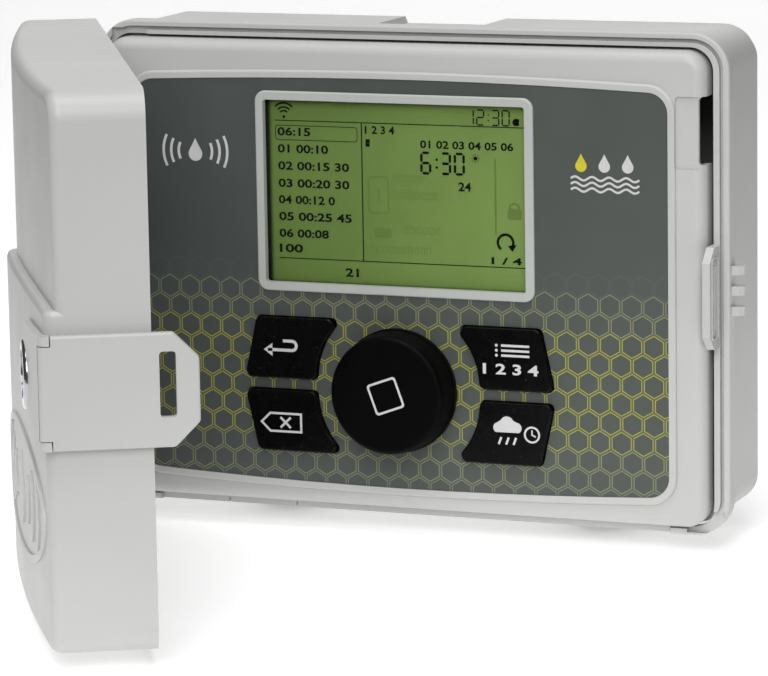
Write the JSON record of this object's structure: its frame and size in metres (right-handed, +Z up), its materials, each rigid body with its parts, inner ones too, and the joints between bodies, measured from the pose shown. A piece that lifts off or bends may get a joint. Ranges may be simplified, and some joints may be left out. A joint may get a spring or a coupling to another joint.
{
  "type": "irrigation controller",
  "caption": "Wall-mounted irrigation controller: shallow case, swing panel with display, dial and keys, and a hinged lockable door with a side latch.",
  "frame": {"origin": "centre of the case back face, on the wall plane, midway across and up the case", "axes": "+X to the right seen from the front, +Z up, -Y out of the wall toward the user, +Y into the wall"},
  "size_m": [0.2713, 0.2847, 0.1836],
  "materials": {
    "housing": "light warm grey moulded ABS, fine satin texture",
    "label": "slate grey printed polycarbonate overlay",
    "display_frame": "off-white gloss plastic",
    "window": "clear acrylic window",
    "display": "yellow-green lit liquid crystal cell",
    "diffuser": "milky light guide",
    "key": "black satin-gloss key cap",
    "dial": "satin black",
    "mark": "white pad print",
    "board": "green solder mask",
    "silicone": "grey silicone rubber",
    "steel": "zinc plated steel",
    "chrome": "polished chrome plate",
    "terminal": "green terminal plastic",
    "laminations": "varnished steel laminations",
    "winding": "yellow insulating tape",
    "black_plastic": "black nylon",
    "shield": "tinned shield can"
  },
  "bodies": {
    "case": {"case_shell": "housing", "drip_rail": "housing", "valve_wire_hub": "black_plastic", "power_hub": "black_plastic", "hub_nuts": "black_plastic", "terminal_board": "board", "board_screws": "steel", "terminal_blocks": "terminal", "terminal_screws": "steel", "transformer_core": "laminations", "transformer_coil": "winding", "transformer_strap": "steel", "transformer_screws": "steel", "door_hinge_pins": "steel", "panel_hinge_pins": "steel"},
    "panel": {"panel_bezel": "housing", "label_overlay": "label", "display_frame": "display_frame", "display_window": "window", "display_module": "display", "display_backlight": "diffuser", "main_board": "board", "keypad_mat": "silicone", "encoder_body": "shield", "panel_cover": "housing", "cover_screws": "steel", "cell_holder": "black_plastic", "coin_cell": "shield", "radio_module": "shield", "cable_plug": "black_plastic", "power_relays": "black_plastic"},
    "dial_shaft": {"encoder_shaft": "steel"},
    "dial": {"dial_knob": "dial", "dial_mark": "mark"},
    "back_key": {"back_key": "key"},
    "clear_key": {"clear_key": "key"},
    "program_key": {"program_key": "key"},
    "rain_key": {"rain_key": "key"},
    "door": {"door_shell": "housing", "latch_bracket": "housing", "latch_pin": "steel", "lock_ring": "chrome", "lock_barrel": "chrome", "lock_nut": "steel"},
    "latch": {"latch_arm": "housing"},
    "lock": {"lock_plug": "chrome", "lock_cam": "steel", "cam_screw": "steel"}
  },
  "joints": [
    {"name": "door_hinge", "type": "hinge", "parent": "case", "child": "door", "pos_m": [-0.1215, -0.054, 0], "axis": [0, 0, -1], "range_deg": [-60.8, 49.2]},
    {"name": "panel_hinge", "type": "hinge", "parent": "case", "child": "panel", "pos_m": [-0.113, -0.0565, 0], "axis": [0, 0, -1], "range_deg": [0, 50]},
    {"name": "dial_push", "type": "slide", "parent": "panel", "child": "dial_shaft", "axis": [0, 1, 0], "range_m": [0, 0.0005], "stiffness_N_per_m": 2000, "springref_m": -0.0006},
    {"name": "dial_turn", "type": "hinge", "parent": "dial_shaft", "child": "dial", "pos_m": [-0.002, -0.066, -0.0414], "axis": [0, -1, 0], "continuous": true},
    {"name": "back_key_press", "type": "slide", "parent": "panel", "child": "back_key", "axis": [0, 1, 0], "range_m": [0, 0.0009], "stiffness_N_per_m": 1200, "springref_m": -0.0005},
    {"name": "clear_key_press", "type": "slide", "parent": "panel", "child": "clear_key", "axis": [0, 1, 0], "range_m": [0, 0.0009], "stiffness_N_per_m": 1200, "springref_m": -0.0005},
    {"name": "program_key_press", "type": "slide", "parent": "panel", "child": "program_key", "axis": [0, 1, 0], "range_m": [0, 0.0009], "stiffness_N_per_m": 1200, "springref_m": -0.0005},
    {"name": "rain_key_press", "type": "slide", "parent": "panel", "child": "rain_key", "axis": [0, 1, 0], "range_m": [0, 0.0009], "stiffness_N_per_m": 1200, "springref_m": -0.0005},
    {"name": "latch_flex", "type": "hinge", "parent": "door", "child": "latch", "pos_m": [-0.0328, -0.2828, 0], "axis": [0, 0, -1], "range_deg": [0, 8], "stiffness_Nm_per_rad": 1.5, "springref_deg": -1.72},
    {"name": "lock_turn", "type": "hinge", "parent": "door", "child": "lock", "pos_m": [-0.0386, -0.24538, -0.004], "axis": [-0.8729, -0.4879, 0], "range_deg": [0, 90]}
  ]
}
